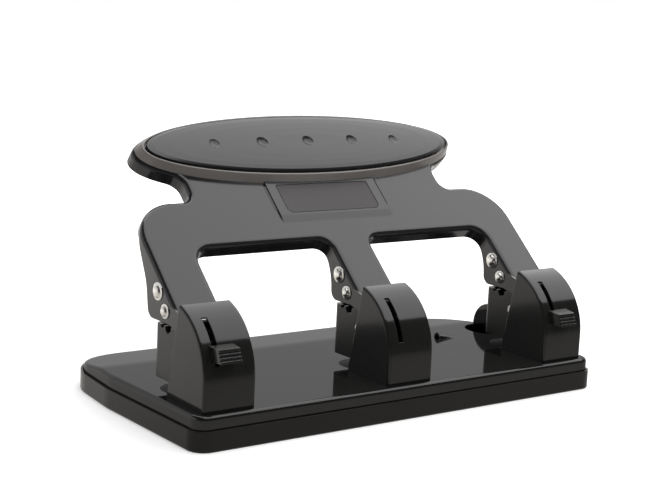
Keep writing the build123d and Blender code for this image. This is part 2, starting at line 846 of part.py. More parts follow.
# Ears: round ends of the flanges about the pivot pins
ear_root = (ear_root_y, heel_z + ear_radius)
ear_sides = [
    x + side * (arm_inner + lever_sheet / 2) for x in head_places for side in (1, -1)
]
with BuildPart() as lever_frame:
    add(lever_outside)
    add(lever_inside, mode=Mode.SUBTRACT)
    add(lever_reach.part, mode=Mode.INTERSECT)
    for x in ear_sides:
        with BuildSketch(Plane.YZ.offset(x)):
            with BuildLine():
                CenterArc((pivot_y, pivot_z), ear_radius, 0, 360)
                CenterArc(ear_root, ear_radius, 0, 360)
            make_hull()
        extrude(amount=lever_sheet / 2, both=True)
    with Locations(*across(head_places, pivot_y, pivot_z)):
        Cylinder(pivot_radius + running_gap, 2 * arm_half, mode=Mode.SUBTRACT)
    with Locations(*across(head_places, drive_y, drive_z)):
        Cylinder(drive_rivet_radius + fit_gap, 2 * arm_half, mode=Mode.SUBTRACT)
    with Locations(*across(head_places, upper_rivet_y, upper_rivet_z)):
        Cylinder(upper_rivet_radius + fit_gap, 2 * arm_half, mode=Mode.SUBTRACT)
    with BuildSketch(lever_plane):
        with Locations(*[(x, grip_centre) for x in grip_screw_places]):
            Circle(grip_screw_radius + fit_gap)
        slit_x = seat_half + slit_width / 2
        with Locations(*[(side * slit_x, (slit_low + slit_high) / 2) for side in (1, -1)]):
            Rectangle(slit_width, slit_high - slit_low)
    extrude(amount=-2 * lever_sheet, mode=Mode.SUBTRACT)
    add(label_seat(0))
    with BuildSketch(lever_plane.offset(seat_floor)):
        add(label_outline(label_gap))
    extrude(amount=seat_rise, mode=Mode.SUBTRACT)
lever_frame.part.label = "lever_frame"
export_step(lever_frame.part, "parts/lever_frame.step")


def domed_rivets(y, z, shank_radius, head_radius):
    """Rivets through the lever's arms, with a domed head at each end."""
    tip = arm_half + rivet_head_height
    with BuildPart() as rivets:
        for x in head_places:
            with BuildSketch(Plane(origin=(x, y, z), x_dir=(1, 0, 0), z_dir=(0, 0, 1))):
                with BuildLine():
                    TangentArc((tip, 0), (arm_half, head_radius), tangent=(0, 1))
                    TangentArc((-tip, 0), (-arm_half, head_radius), tangent=(0, 1))
                    Polyline(
                        (arm_half, head_radius),
                        (arm_half, shank_radius),
                        (-arm_half, shank_radius),
                        (-arm_half, head_radius),
                    )
                    Line((-tip, 0), (tip, 0))
                make_face()
            revolve(axis=Axis((x, y, z), (1, 0, 0)))
    return rivets.part


# Upper rivets: plain rivets that tie each arm's flanges
upper_rivets = domed_rivets(upper_rivet_y, upper_rivet_z, upper_rivet_radius, upper_head_radius)
upper_rivets.label = "upper_rivets"
export_step(upper_rivets, "parts/upper_rivets.step")

# Drive rivets: lower rivets that carry the drive bushes
drive_rivets = domed_rivets(drive_y, drive_z, drive_rivet_radius, drive_head_radius)
drive_rivets.label = "drive_rivets"
export_step(drive_rivets, "parts/drive_rivets.step")

# Grip ring: a moulded oval surround, sloped to its rim and hollow for the pad.
# The hollow lies a little to the front, so the groove narrows to the rear.
hollow_length = pad_half_length + pad_gap
hollow_width = pad_half_width + (pad_gap + pad_rear_gap) / 2
hollow_centre = grip_centre + (pad_rear_gap - pad_gap) / 2
with BuildPart() as grip_ring:
    with BuildSketch(lever_plane):
        with Locations((0, grip_centre)):
            Ellipse(ring_foot_length, ring_foot_width)
    with BuildSketch(lever_plane.offset(ring_height)):
        with Locations((0, hollow_centre)):
            Ellipse(hollow_length + ring_rim, hollow_width + ring_rim)
    loft()
    with BuildSketch(lever_plane.offset(ring_floor)):
        with Locations((0, hollow_centre)):
            Ellipse(hollow_length, hollow_width)
    extrude(amount=ring_height, mode=Mode.SUBTRACT)
    rim = grip_ring.faces().sort_by(Axis((0, 0, 0), lever_plane.z_dir))[-1]
    fillet(rim.outer_wire().edges(), radius=ring_edge_radius)
    with BuildSketch(lever_plane):
        with Locations(*[(x, grip_centre) for x in grip_screw_places]):
            Circle(grip_screw_radius + fit_gap)
    extrude(amount=ring_floor, mode=Mode.SUBTRACT)
    add(label_seat(running_gap), mode=Mode.SUBTRACT)
grip_ring.part.label = "grip_ring"
export_step(grip_ring.part, "parts/grip_ring.step")

# Grip pad: an oval with a low crown and a row of dimples
with BuildPart() as grip_pad:
    with BuildSketch(lever_plane.offset(ring_floor)):
        with Locations((0, grip_centre)):
            Ellipse(pad_half_length, pad_half_width)
    extrude(amount=pad_edge_height - ring_floor)
    crown_turn = pi / 2 / (pad_crown_rings + 1)
    for ring in range(pad_crown_rings):
        for angle in (ring * crown_turn, (ring + 1) * crown_turn):
            with BuildSketch(lever_plane.offset(pad_edge_height + pad_crown * sin(angle))):
                with Locations((0, grip_centre)):
                    Ellipse(pad_half_length * cos(angle), pad_half_width * cos(angle))
        loft()
    for step in range(dimple_count):
        x = (step - (dimple_count - 1) / 2) * dimple_spacing
        height = pad_edge_height + pad_crown - dimple_depth + dimple_radius
        centre = lever_plane.from_local_coords(Vector(x, grip_centre, height))
        with Locations(centre):
            Sphere(dimple_radius, mode=Mode.SUBTRACT)
grip_pad.part.label = "grip_pad"
export_step(grip_pad.part, "parts/grip_pad.step")

# Grip screws: through the lever into the ring's floor
with BuildPart() as grip_screws:
    with BuildSketch(lever_plane.offset(-lever_sheet)):
        with Locations(*[(x, grip_centre) for x in grip_screw_places]):
            Circle(grip_screw_head_radius)
    extrude(amount=-grip_screw_head_height)
    with BuildSketch(lever_plane.offset(-lever_sheet)):
        with Locations(*[(x, grip_centre) for x in grip_screw_places]):
            Circle(grip_screw_radius)
    extrude(amount=lever_sheet + ring_floor)
grip_screws.part.label = "grip_screws"
export_step(grip_screws.part, "parts/grip_screws.step")

# Label plate: a thin bare plate on the floor of its seat
with BuildPart() as label_plate:
    with BuildSketch(lever_plane.offset(seat_floor)):
        add(label_outline(0))
    extrude(amount=label_sheet)
label_plate.part.label = "label_plate"
export_step(label_plate.part, "parts/label_plate.step")
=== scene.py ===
import bpy
from math import cos, pi, radians, sin
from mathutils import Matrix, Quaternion, Vector


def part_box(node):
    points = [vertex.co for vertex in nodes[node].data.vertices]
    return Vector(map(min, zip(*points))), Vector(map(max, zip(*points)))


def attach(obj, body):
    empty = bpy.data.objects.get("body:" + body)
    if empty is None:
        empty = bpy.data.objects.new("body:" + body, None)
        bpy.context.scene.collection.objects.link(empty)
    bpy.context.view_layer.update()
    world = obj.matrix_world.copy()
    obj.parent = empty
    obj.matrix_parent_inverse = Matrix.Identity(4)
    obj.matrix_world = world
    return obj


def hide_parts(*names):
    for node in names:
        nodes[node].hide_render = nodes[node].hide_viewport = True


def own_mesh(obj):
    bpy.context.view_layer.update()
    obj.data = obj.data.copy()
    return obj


# Heavy duty hole punch: three punching heads on a steel base, worked by one
# wide pressed lever with an oval hand grip. Lengths are in metres, in the
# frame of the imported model: X along the heads, Y to the paper side, Z up.
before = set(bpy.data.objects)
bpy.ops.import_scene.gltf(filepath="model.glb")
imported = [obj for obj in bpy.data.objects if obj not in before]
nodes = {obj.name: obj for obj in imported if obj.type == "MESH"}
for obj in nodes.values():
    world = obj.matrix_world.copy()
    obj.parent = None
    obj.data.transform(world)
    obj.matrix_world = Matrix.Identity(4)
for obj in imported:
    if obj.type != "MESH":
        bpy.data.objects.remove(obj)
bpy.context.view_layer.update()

# Camera: it stands where the photograph was taken from, to the left and a
# little above the punch, with a slight tilt.
IMAGE_WIDTH = 645
FOCAL_PIXELS = 1420.7
SENSOR = 36.0
camera_azimuth = radians(-36.256)
camera_elevation = radians(9.639)
camera_roll = radians(2.691)
camera_distance = 0.8624
camera_target = Vector((0.05067, 0.1083, 0.06176))
camera_back = Vector((
    sin(camera_azimuth) * cos(camera_elevation),
    -cos(camera_azimuth) * cos(camera_elevation),
    sin(camera_elevation),
))
camera = bpy.data.objects.new("camera", bpy.data.cameras.new("camera"))
camera.data.sensor_width = SENSOR
camera.data.lens = FOCAL_PIXELS * SENSOR / IMAGE_WIDTH
camera.data.clip_start = 0.05
camera.rotation_mode = "QUATERNION"
camera.location = camera_target + camera_back * camera_distance
camera.rotation_quaternion = (-camera_back).to_track_quat("-Z", "Y") @ Quaternion((0, 0, 1), camera_roll)
bpy.context.collection.objects.link(camera)
bpy.context.scene.camera = camera


# Waste tray: one moulding of black ABS that the base plate snaps into. Its
# outside is satin from the spark-eroded mould, and duller and paler in patches.
def srgb(text):
    """Linear colour from an sRGB hex value."""
    parts = [int(text[i:i + 2], 16) / 255 for i in (1, 3, 5)]
    return [c / 12.92 if c <= 0.04045 else ((c + 0.055) / 1.055) ** 2.4 for c in parts] + [1.0]


def put(owner, kind, settings=None, links=None):
    """Adds a node to a material, world or tree, with its settings and its links."""
    tree = getattr(owner, "node_tree", owner)
    node = tree.nodes.new(kind)
    for key, value in (settings or {}).items():
        if isinstance(key, str) and hasattr(node, key):
            setattr(node, key, value)
        else:
            node.inputs[key].default_value = value
    for key, source in (links or {}).items():
        tree.links.new(source, node.inputs[key])
    return node


def new_material(name):
    """An empty node material and its surface shader."""
    material = bpy.data.materials.new(name)
    material.use_nodes = True
    return material, material.node_tree.nodes["Principled BSDF"]


def dress(node_name, material):
    """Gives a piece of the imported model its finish."""
    mesh = nodes[node_name].data
    mesh.materials.clear()
    mesh.materials.append(material)


MM = 0.001
EDGE_SAMPLES = 4

# The mould's grain is about 0.1 mm and wouldn't show, so it is drawn at 0.5 mm
tray_grain = 0.5 * MM
tray_patch = 45.5 * MM
tray_abs, shader = new_material("black_moulded_abs")
place = put(tray_abs, "ShaderNodeTexCoord").outputs["Object"]
grain = put(tray_abs, "ShaderNodeTexNoise", {"Scale": 1 / tray_grain, "Detail": 2.0}, {"Vector": place})
dust = put(tray_abs, "ShaderNodeTexNoise", {"Scale": 1 / tray_patch, "Detail": 4.0}, {"Vector": place})
tone = put(tray_abs, "ShaderNodeMix", {"data_type": "RGBA", 6: srgb("#191917"), 7: srgb("#21201e")},
           {0: dust.outputs["Fac"]})
sheen = put(tray_abs, "ShaderNodeMapRange", {"To Min": 0.2, "To Max": 0.28}, {"Value": dust.outputs["Fac"]})
edge = put(tray_abs, "ShaderNodeBevel", {"samples": EDGE_SAMPLES, "Radius": 0.6 * MM})
relief = put(tray_abs, "ShaderNodeBump", {"Strength": 0.25, "Distance": 0.03 * MM},
             {"Height": grain.outputs["Fac"], "Normal": edge.outputs["Normal"]})
shader.inputs["Specular IOR Level"].default_value = 0.2
tray_abs.node_tree.links.new(tone.outputs[2], shader.inputs["Base Color"])
tray_abs.node_tree.links.new(sheen.outputs["Result"], shader.inputs["Roughness"])
tray_abs.node_tree.links.new(relief.outputs["Normal"], shader.inputs["Normal"])
dress("waste_tray", tray_abs)


# Base plate: 1.2 mm steel sheet, blanked and pressed, with a stoved enamel
# that is glossy enough to mirror the heads. A tongue and a hood are pressed out of it.
def coated_steel(name, dark, light, roughness, shine, peel, edge_radius, index=1.5):
    """Steel sheet with a baked coat: orange peel, softened edges, a shine from 0 to 1 and its index."""
    patch = 55.6 * MM
    material, shader = new_material(name)
    place = put(material, "ShaderNodeTexCoord").outputs["Object"]
    cloud = put(material, "ShaderNodeTexNoise", {"Scale": 1 / patch, "Detail": 3.0}, {"Vector": place})
    tone = put(material, "ShaderNodeMix", {"data_type": "RGBA", 6: srgb(dark), 7: srgb(light)},
               {0: cloud.outputs["Fac"]})
    waves = put(material, "ShaderNodeTexNoise", {"Scale": 1 / peel, "Detail": 1.0}, {"Vector": place})
    edge = put(material, "ShaderNodeBevel", {"samples": EDGE_SAMPLES, "Radius": edge_radius})
    relief = put(material, "ShaderNodeBump", {"Strength": 0.15, "Distance": 0.02 * MM},
                 {"Height": waves.outputs["Fac"], "Normal": edge.outputs["Normal"]})
    # The coat is the whole shine, so its weight also tames the grazing reflection
    shader.inputs["Specular IOR Level"].default_value = 0.0
    shader.inputs["Roughness"].default_value = 0.6
    shader.inputs["Coat Weight"].default_value = shine
    shader.inputs["Coat Roughness"].default_value = roughness
    shader.inputs["Coat IOR"].default_value = index
    material.node_tree.links.new(tone.outputs[2], shader.inputs["Base Color"])
    material.node_tree.links.new(relief.outputs["Normal"], shader.inputs["Normal"])
    material.node_tree.links.new(relief.outputs["Normal"], shader.inputs["Coat Normal"])
    return material


plate_enamel = coated_steel("gloss_black_stoved_enamel", "#121211", "#161615", roughness=0.06, shine=0.38,
                            peel=2.6 * MM, edge_radius=0.4 * MM, index=2.0)
dress("base_plate", plate_enamel)

# Dies: turned discs of tool steel, blackened in hot salts and flush with the
# plate. The turning marks round each bore are finer than a render can show, so
# they are drawn about 3 mm apart.
HEADS = ("left", "middle", "right")
# A wave texture turns by this many radians for each unit of its scale
WAVE_RADIANS = 20.0


def turned_steel(name, centre, pitch, dark, light, metal, specular, roughness):
    """Turned or ground steel, with rings about a vertical axis."""
    material, shader = new_material(name)
    place = put(material, "ShaderNodeTexCoord").outputs["Object"]
    centred = put(material, "ShaderNodeMapping", {"Location": (-centre.x, -centre.y, 0)}, {"Vector": place})
    rings = put(material, "ShaderNodeTexWave",
                {"wave_type": "RINGS", "rings_direction": "Z", "Scale": 2 * pi / (WAVE_RADIANS * pitch),
                 "Distortion": 0.6},
                {"Vector": centred.outputs["Vector"]})
    tone = put(material, "ShaderNodeMix", {"data_type": "RGBA", 6: srgb(dark), 7: srgb(light)},
               {0: rings.outputs["Fac"]})
    relief = put(material, "ShaderNodeBump", {"Strength": 0.3, "Distance": 0.01 * MM},
                 {"Height": rings.outputs["Fac"]})
    shader.inputs["Metallic"].default_value = metal
    shader.inputs["Specular IOR Level"].default_value = specular
    shader.inputs["Roughness"].default_value = roughness
    material.node_tree.links.new(tone.outputs[2], shader.inputs["Base Color"])
    material.node_tree.links.new(relief.outputs["Normal"], shader.inputs["Normal"])
    return material


for head in HEADS:
    low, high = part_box(f"die_{head}")
    black_die = turned_steel(f"blackened_tool_steel_{head}", (low + high) / 2, 3.14 * MM, "#161615",
                             "#232322", metal=0.0, specular=0.05, roughness=0.5)
    dress(f"die_{head}", black_die)

# Punch frames: folded channels of 2 mm steel that hold everything in a head.
# They have the same powder coat as the covers, a little duller.
frame_coat = coated_steel("dull_black_powder_coat", "#1d1d1c", "#222221", roughness=0.26, shine=0.8,
                          peel=1.2 * MM, edge_radius=0.45 * MM)
for head in HEADS:
    dress(f"punch_frame_{head}", frame_coat)

# Tie pins: bright zinc-plated pins through the frames' walls, with faint
# drawing marks along them. The screws are plated alike.
pin_zinc, shader = new_material("bright_zinc_plate")
place = put(pin_zinc, "ShaderNodeTexCoord").outputs["Object"]
mark_length = 16.7 * MM
mark_width = 0.4 * MM
stretch = put(pin_zinc, "ShaderNodeMapping",
              {"Scale": (1 / mark_length, 1 / mark_width, 1 / mark_width)}, {"Vector": place})
drawn = put(pin_zinc, "ShaderNodeTexNoise", {"Scale": 1.0, "Detail": 2.0},
            {"Vector": stretch.outputs["Vector"]})
tone = put(pin_zinc, "ShaderNodeMix", {"data_type": "RGBA", 6: srgb("#b4b3b0"), 7: srgb("#d2d2d0")},
           {0: drawn.outputs["Fac"]})
relief = put(pin_zinc, "ShaderNodeBump", {"Strength": 0.2, "Distance": 0.01 * MM},
             {"Height": drawn.outputs["Fac"]})
shader.inputs["Metallic"].default_value = 1.0
shader.inputs["Roughness"].default_value = 0.25
pin_zinc.node_tree.links.new(tone.outputs[2], shader.inputs["Base Color"])
pin_zinc.node_tree.links.new(relief.outputs["Normal"], shader.inputs["Normal"])
dress("frame_tie_pins", pin_zinc)

# Pivot pins and the sliders' inner plates: ground steel, blackened and oiled,
# so that nothing bright shows through the covers' slots.
oiled_black, shader = new_material("blackened_oiled_steel")
place = put(oiled_black, "ShaderNodeTexCoord").outputs["Object"]
film = put(oiled_black, "ShaderNodeTexNoise", {"Scale": 1 / (1.5 * MM), "Detail": 2.0}, {"Vector": place})
tone = put(oiled_black, "ShaderNodeMix", {"data_type": "RGBA", 6: srgb("#0f0f0f"), 7: srgb("#191918")},
           {0: film.outputs["Fac"]})
sheen = put(oiled_black, "ShaderNodeMapRange", {"To Min": 0.4, "To Max": 0.55},
            {"Value": film.outputs["Fac"]})
shader.inputs["Specular IOR Level"].default_value = 0.2
oiled_black.node_tree.links.new(tone.outputs[2], shader.inputs["Base Color"])
oiled_black.node_tree.links.new(sheen.outputs["Result"], shader.inputs["Roughness"])
for head in HEADS:
    dress(f"pivot_pin_{head}", oiled_black)
for head in ("left", "right"):
    dress(f"slider_retainer_{head}", oiled_black)

# Guide blocks: sintered steel blocks that carry the punches, steam-treated to
# a dull blue-black, with the fine pores of pressed powder.
guide_sinter, shader = new_material("steam_treated_sintered_steel")
place = put(guide_sinter, "ShaderNodeTexCoord").outputs["Object"]
pores = put(guide_sinter, "ShaderNodeTexVoronoi", {"Scale": 1 / (0.8 * MM)}, {"Vector": place})
tone = put(guide_sinter, "ShaderNodeMix", {"data_type": "RGBA", 6: srgb("#2b2c2e"), 7: srgb("#4a4b4d")},
           {0: pores.outputs["Distance"]})
relief = put(guide_sinter, "ShaderNodeBump", {"Strength": 0.4, "Distance": 0.04 * MM},
             {"Height": pores.outputs["Distance"]})
shader.inputs["Metallic"].default_value = 0.6
shader.inputs["Roughness"].default_value = 0.5
guide_sinter.node_tree.links.new(tone.outputs[2], shader.inputs["Base Color"])
guide_sinter.node_tree.links.new(relief.outputs["Normal"], shader.inputs["Normal"])
for head in HEADS:
    dress(f"punch_guide_{head}", guide_sinter)

# Punches: hardened and ground pins with a flat head and a hollow ground tip,
# which slide in the guide blocks. The grinding marks are rings on the head,
# drawn 2.5 mm apart to show.
for head in HEADS:
    low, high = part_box(f"punch_pin_{head}")
    ground = turned_steel(f"ground_tool_steel_{head}", (low + high) / 2, 2.51 * MM, "#8b8985", "#b0aea9",
                          metal=1.0, specular=0.5, roughness=0.28)
    dress(f"punch_pin_{head}", ground)

# Return springs: cold-wound music wire, zinc plated, between the guide block
# and the punch's head.
spring_zinc, shader = new_material("zinc_plated_music_wire")
place = put(spring_zinc, "ShaderNodeTexCoord").outputs["Object"]
blotch = put(spring_zinc, "ShaderNodeTexNoise", {"Scale": 1 / (1.5 * MM), "Detail": 3.0}, {"Vector": place})
tone = put(spring_zinc, "ShaderNodeMix", {"data_type": "RGBA", 6: srgb("#8f8e8a"), 7: srgb("#b9b8b4")},
           {0: blotch.outputs["Fac"]})
sheen = put(spring_zinc, "ShaderNodeMapRange", {"To Min": 0.25, "To Max": 0.4},
            {"Value": blotch.outputs["Fac"]})
shader.inputs["Metallic"].default_value = 1.0
spring_zinc.node_tree.links.new(tone.outputs[2], shader.inputs["Base Color"])
spring_zinc.node_tree.links.new(sheen.outputs["Result"], shader.inputs["Roughness"])
for head in HEADS:
    dress(f"return_spring_{head}", spring_zinc)
    low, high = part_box(f"return_spring_{head}")
    coil = bpy.data.objects.new(f"return_spring_{head}_coil", nodes[f"return_spring_{head}"].data.copy())
    coil.data.transform(nodes[f"return_spring_{head}"].matrix_world)
    bpy.context.collection.objects.link(coil)
    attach(coil, "base")
    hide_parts(f"return_spring_{head}")
    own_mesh(coil)

# Head covers: 1 mm steel folded round each frame, with tabs through the base
# plate. The powder coat is semi-gloss, with an orange peel of about 1 mm.
cover_coat = coated_steel("semi_gloss_black_powder_coat", "#181817", "#1c1c1b", roughness=0.12, shine=0.85,
                          peel=1.0 * MM, edge_radius=0.5 * MM)
for head in HEADS:
    dress(f"head_cover_{head}", cover_coat)

# Sliders: ribbed catches of black acetal in the slots of the outer covers,
# held by a plate inside. Acetal has a soft, waxy shine.
slider_acetal, shader = new_material("black_acetal")
place = put(slider_acetal, "ShaderNodeTexCoord").outputs["Object"]
flow = put(slider_acetal, "ShaderNodeTexNoise", {"Scale": 1 / (0.7 * MM), "Detail": 2.0}, {"Vector": place})
tone = put(slider_acetal, "ShaderNodeMix", {"data_type": "RGBA", 6: srgb("#171716"), 7: srgb("#1f1f1d")},
           {0: flow.outputs["Fac"]})
edge = put(slider_acetal, "ShaderNodeBevel", {"samples": EDGE_SAMPLES, "Radius": 0.4 * MM})
relief = put(slider_acetal, "ShaderNodeBump", {"Strength": 0.2, "Distance": 0.03 * MM},
             {"Height": flow.outputs["Fac"], "Normal": edge.outputs["Normal"]})
shader.inputs["Roughness"].default_value = 0.2
shader.inputs["Specular IOR Level"].default_value = 0.75
slider_acetal.node_tree.links.new(tone.outputs[2], shader.inputs["Base Color"])
slider_acetal.node_tree.links.new(relief.outputs["Normal"], shader.inputs["Normal"])
for head in ("left", "right"):
    dress(f"cover_slider_{head}", slider_acetal)

# Lever: one large pressing of 1.5 mm steel with its edges turned back. The
# powder coat is smoother than on the covers and shines softly.
lever_coat = coated_steel("satin_black_powder_coat", "#1e1e20", "#222224", roughness=0.13, shine=1.0,
                          peel=1.4 * MM, edge_radius=0.5 * MM)
dress("lever_frame", lever_coat)

# Drive bushes: sintered bronze, soaked with oil, that turn on the lower rivets
# and press on the punches. The pores of the pressed powder darken it.
bush_bronze, shader = new_material("oiled_sintered_bronze")
place = put(bush_bronze, "ShaderNodeTexCoord").outputs["Object"]
pores = put(bush_bronze, "ShaderNodeTexVoronoi", {"Scale": 1 / (0.5 * MM)}, {"Vector": place})
tone = put(bush_bronze, "ShaderNodeMix", {"data_type": "RGBA", 6: srgb("#7a5a33"), 7: srgb("#b0895a")},
           {0: pores.outputs["Distance"]})
shader.inputs["Metallic"].default_value = 1.0
shader.inputs["Roughness"].default_value = 0.38
bush_bronze.node_tree.links.new(tone.outputs[2], shader.inputs["Base Color"])
for head in HEADS:
    dress(f"drive_bush_{head}", bush_bronze)

# Rivets: nickel-plated steel, set cold, so that the domed heads are polished
# by the tool. The upper ones tie each arm, and the lower ones carry the bushes.
rivet_nickel, shader = new_material("bright_nickel_plate")
place = put(rivet_nickel, "ShaderNodeTexCoord").outputs["Object"]
marks = put(rivet_nickel, "ShaderNodeTexNoise", {"Scale": 1 / (1.2 * MM), "Detail": 3.0}, {"Vector": place})
tone = put(rivet_nickel, "ShaderNodeMix", {"data_type": "RGBA", 6: srgb("#cfcdc8"), 7: srgb("#e6e4df")},
           {0: marks.outputs["Fac"]})
sheen = put(rivet_nickel, "ShaderNodeMapRange", {"To Min": 0.18, "To Max": 0.28},
            {"Value": marks.outputs["Fac"]})
shader.inputs["Metallic"].default_value = 1.0
rivet_nickel.node_tree.links.new(tone.outputs[2], shader.inputs["Base Color"])
rivet_nickel.node_tree.links.new(sheen.outputs["Result"], shader.inputs["Roughness"])
RIVET_HEAD_HEIGHT = 2.1 * MM
ROUND_SEGMENTS = 48
MERGE_GAP = 0.001 * MM
# A cross recess lies within this share of the head's radius, and past this share
# of the profile's rows
RECESS_REACH = 0.7
RECESS_START = 0.7


def turned_tree(name, profile, material):
    """Geometry Nodes that turn a profile about an axis and set it at each point."""
    tree = bpy.data.node_groups.new(name, "GeometryNodeTree")
    tree.interface.new_socket("Places", in_out="INPUT", socket_type="NodeSocketGeometry")
    for label in ("Radius", "Length", "Recess Depth", "Recess Width"):
        tree.interface.new_socket(label, in_out="INPUT", socket_type="NodeSocketFloat")
    tree.interface.new_socket("Pieces", in_out="OUTPUT", socket_type="NodeSocketGeometry")
    inlet = put(tree, "NodeGroupInput")
    rows = len(profile)
    grid = put(tree, "GeometryNodeMeshGrid", {"Size X": 1.0, "Size Y": 1.0, "Vertices X": ROUND_SEGMENTS + 1,
                                              "Vertices Y": rows})
    spot = put(tree, "ShaderNodeSeparateXYZ", {}, {0: put(tree, "GeometryNodeInputPosition").outputs[0]})
    turn = put(tree, "ShaderNodeMath", {"operation": "MULTIPLY", 1: 2 * pi}, {0: spot.outputs["X"]})
    along = put(tree, "ShaderNodeMath", {"operation": "ADD", 1: 0.5}, {0: spot.outputs["Y"]})
    sizes = []
    for part, reach in ((0, "Radius"), (1, "Length")):
        curve = put(tree, "ShaderNodeFloatCurve", {}, {"Value": along.outputs[0]})
        points = curve.mapping.curves[0].points
        for row, pair in enumerate(profile):
            share = row / (rows - 1)
            point = points[0] if row == 0 else points[1] if row == rows - 1 else points.new(share, pair[part])
            point.location = (share, pair[part])
        for point in points:
            point.handle_type = "VECTOR"
        curve.mapping.update()
        sizes.append(put(tree, "ShaderNodeMath", {"operation": "MULTIPLY"},
                         {0: curve.outputs[0], 1: inlet.outputs[reach]}))
    cosine = put(tree, "ShaderNodeMath", {"operation": "COSINE"}, {0: turn.outputs[0]})
    sine = put(tree, "ShaderNodeMath", {"operation": "SINE"}, {0: turn.outputs[0]})
    x = put(tree, "ShaderNodeMath", {"operation": "MULTIPLY"}, {0: sizes[0].outputs[0], 1: cosine.outputs[0]})
    y = put(tree, "ShaderNodeMath", {"operation": "MULTIPLY"}, {0: sizes[0].outputs[0], 1: sine.outputs[0]})
    # Cross recess: deepest where either arm of the cross passes, and only in the head
    near_x = put(tree, "ShaderNodeMath", {"operation": "ABSOLUTE"}, {0: x.outputs[0]})
    near_y = put(tree, "ShaderNodeMath", {"operation": "ABSOLUTE"}, {0: y.outputs[0]})
    near = put(tree, "ShaderNodeMath", {"operation": "MINIMUM"}, {0: near_x.outputs[0], 1: near_y.outputs[0]})
    arm = put(tree, "ShaderNodeMapRange", {"interpolation_type": "SMOOTHSTEP", "To Min": 1.0, "To Max": 0.0},
              {"Value": near.outputs[0], "From Max": inlet.outputs["Recess Width"]})
    reach = put(tree, "ShaderNodeMath", {"operation": "MULTIPLY", 1: RECESS_REACH},
                {0: inlet.outputs["Radius"]})
    within = put(tree, "ShaderNodeMath", {"operation": "LESS_THAN"},
                 {0: sizes[0].outputs[0], 1: reach.outputs[0]})
    head = put(tree, "ShaderNodeMath", {"operation": "GREATER_THAN", 1: RECESS_START}, {0: along.outputs[0]})
    sunk = put(tree, "ShaderNodeMath", {"operation": "MULTIPLY"},
               {0: arm.outputs["Result"], 1: within.outputs[0]})
    sunk = put(tree, "ShaderNodeMath", {"operation": "MULTIPLY"}, {0: sunk.outputs[0], 1: head.outputs[0]})
    sunk = put(tree, "ShaderNodeMath", {"operation": "MULTIPLY"},
               {0: sunk.outputs[0], 1: inlet.outputs["Recess Depth"]})
    z = put(tree, "ShaderNodeMath", {"operation": "SUBTRACT"}, {0: sizes[1].outputs[0], 1: sunk.outputs[0]})
    place = put(tree, "ShaderNodeCombineXYZ", {}, {"X": x.outputs[0], "Y": y.outputs[0], "Z": z.outputs[0]})
    shape = put(tree, "GeometryNodeSetPosition", {},
                {"Geometry": grid.outputs["Mesh"], "Position": place.outputs[0]})
    closed = put(tree, "GeometryNodeMergeByDistance", {"Distance": MERGE_GAP}, {"Geometry": shape.outputs[0]})
    smooth = put(tree, "GeometryNodeSetShadeSmooth", {}, {"Geometry": closed.outputs[0]})
    aim = put(tree, "GeometryNodeInputNamedAttribute", {"data_type": "FLOAT_VECTOR", "Name": "aim"})
    lean = put(tree, "FunctionNodeAlignRotationToVector", {"axis": "Z"}, {"Vector": aim.outputs[0]})
    set_out = put(tree, "GeometryNodeInstanceOnPoints", {},
                  {"Points": inlet.outputs["Places"], "Instance": smooth.outputs[0],
                   "Rotation": lean.outputs[0]})
    real = put(tree, "GeometryNodeRealizeInstances", {}, {"Geometry": set_out.outputs[0]})
    finish = put(tree, "GeometryNodeSetMaterial", {"Material": material}, {"Geometry": real.outputs[0]})
    put(tree, "NodeGroupOutput", {}, {"Pieces": finish.outputs[0]})
    return tree


def turned_pieces(name, tree, places, sizes):
    """A plain mesh of the turned pieces at their places, each with its own axis."""
    mesh = bpy.data.meshes.new(name)
    mesh.from_pydata([place for place, aim in places], [], [])
    ways = mesh.attributes.new("aim", "FLOAT_VECTOR", "POINT")
    for row, (place, aim) in enumerate(places):
        ways.data[row].vector = aim
    piece = bpy.data.objects.new(name, mesh)
    bpy.context.collection.objects.link(piece)
    modifier = piece.modifiers.new("turned", "NODES")
    modifier.node_group = tree
    for socket in tree.interface.items_tree:
        if socket.in_out == "INPUT" and socket.name in sizes:
            modifier[socket.identifier] = sizes[socket.name]
    made = bpy.data.meshes.new_from_object(piece.evaluated_get(bpy.context.evaluated_depsgraph_get()))
    piece.modifiers.clear()
    piece.data = made
    return piece


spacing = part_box("die_right")[0].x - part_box("die_middle")[0].x
for name in ("upper_rivets", "drive_rivets"):
    low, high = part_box(name)
    radius = (high.z - low.z) / 2
    middle = (low + high) / 2
    arm = high.x - spacing - RIVET_HEAD_HEIGHT
    face = arm / (arm + RIVET_HEAD_HEIGHT)
    rise = 1 - face
    # A flat collar and a dome that the tool has set, in shares of the head's
    # radius and of the length from the arm's middle. The recess has no depth here.
    profile = [(0.0, 0.0), (0.5, 0.0), (0.5, face), (0.93, face), (1.0, face + 0.05 * rise),
               (1.0, face + 0.2 * rise), (0.94, face + 0.27 * rise), (0.72, face + 0.29 * rise),
               (0.68, face + 0.38 * rise), (0.63, face + 0.6 * rise), (0.53, face + 0.78 * rise),
               (0.38, face + 0.9 * rise), (0.2, face + 0.98 * rise), (0.0, 1.0)]
    tree = turned_tree(f"{name}_turned", profile, rivet_nickel)
    places = [((x * spacing, middle.y, middle.z), (side, 0, 0)) for x in (-1, 0, 1) for side in (-1, 1)]
    rivets = turned_pieces(f"{name}_domed", tree, places,
                           {"Radius": radius, "Length": arm + RIVET_HEAD_HEIGHT, "Recess Width": MM})
    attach(rivets, "lever")
    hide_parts(name)
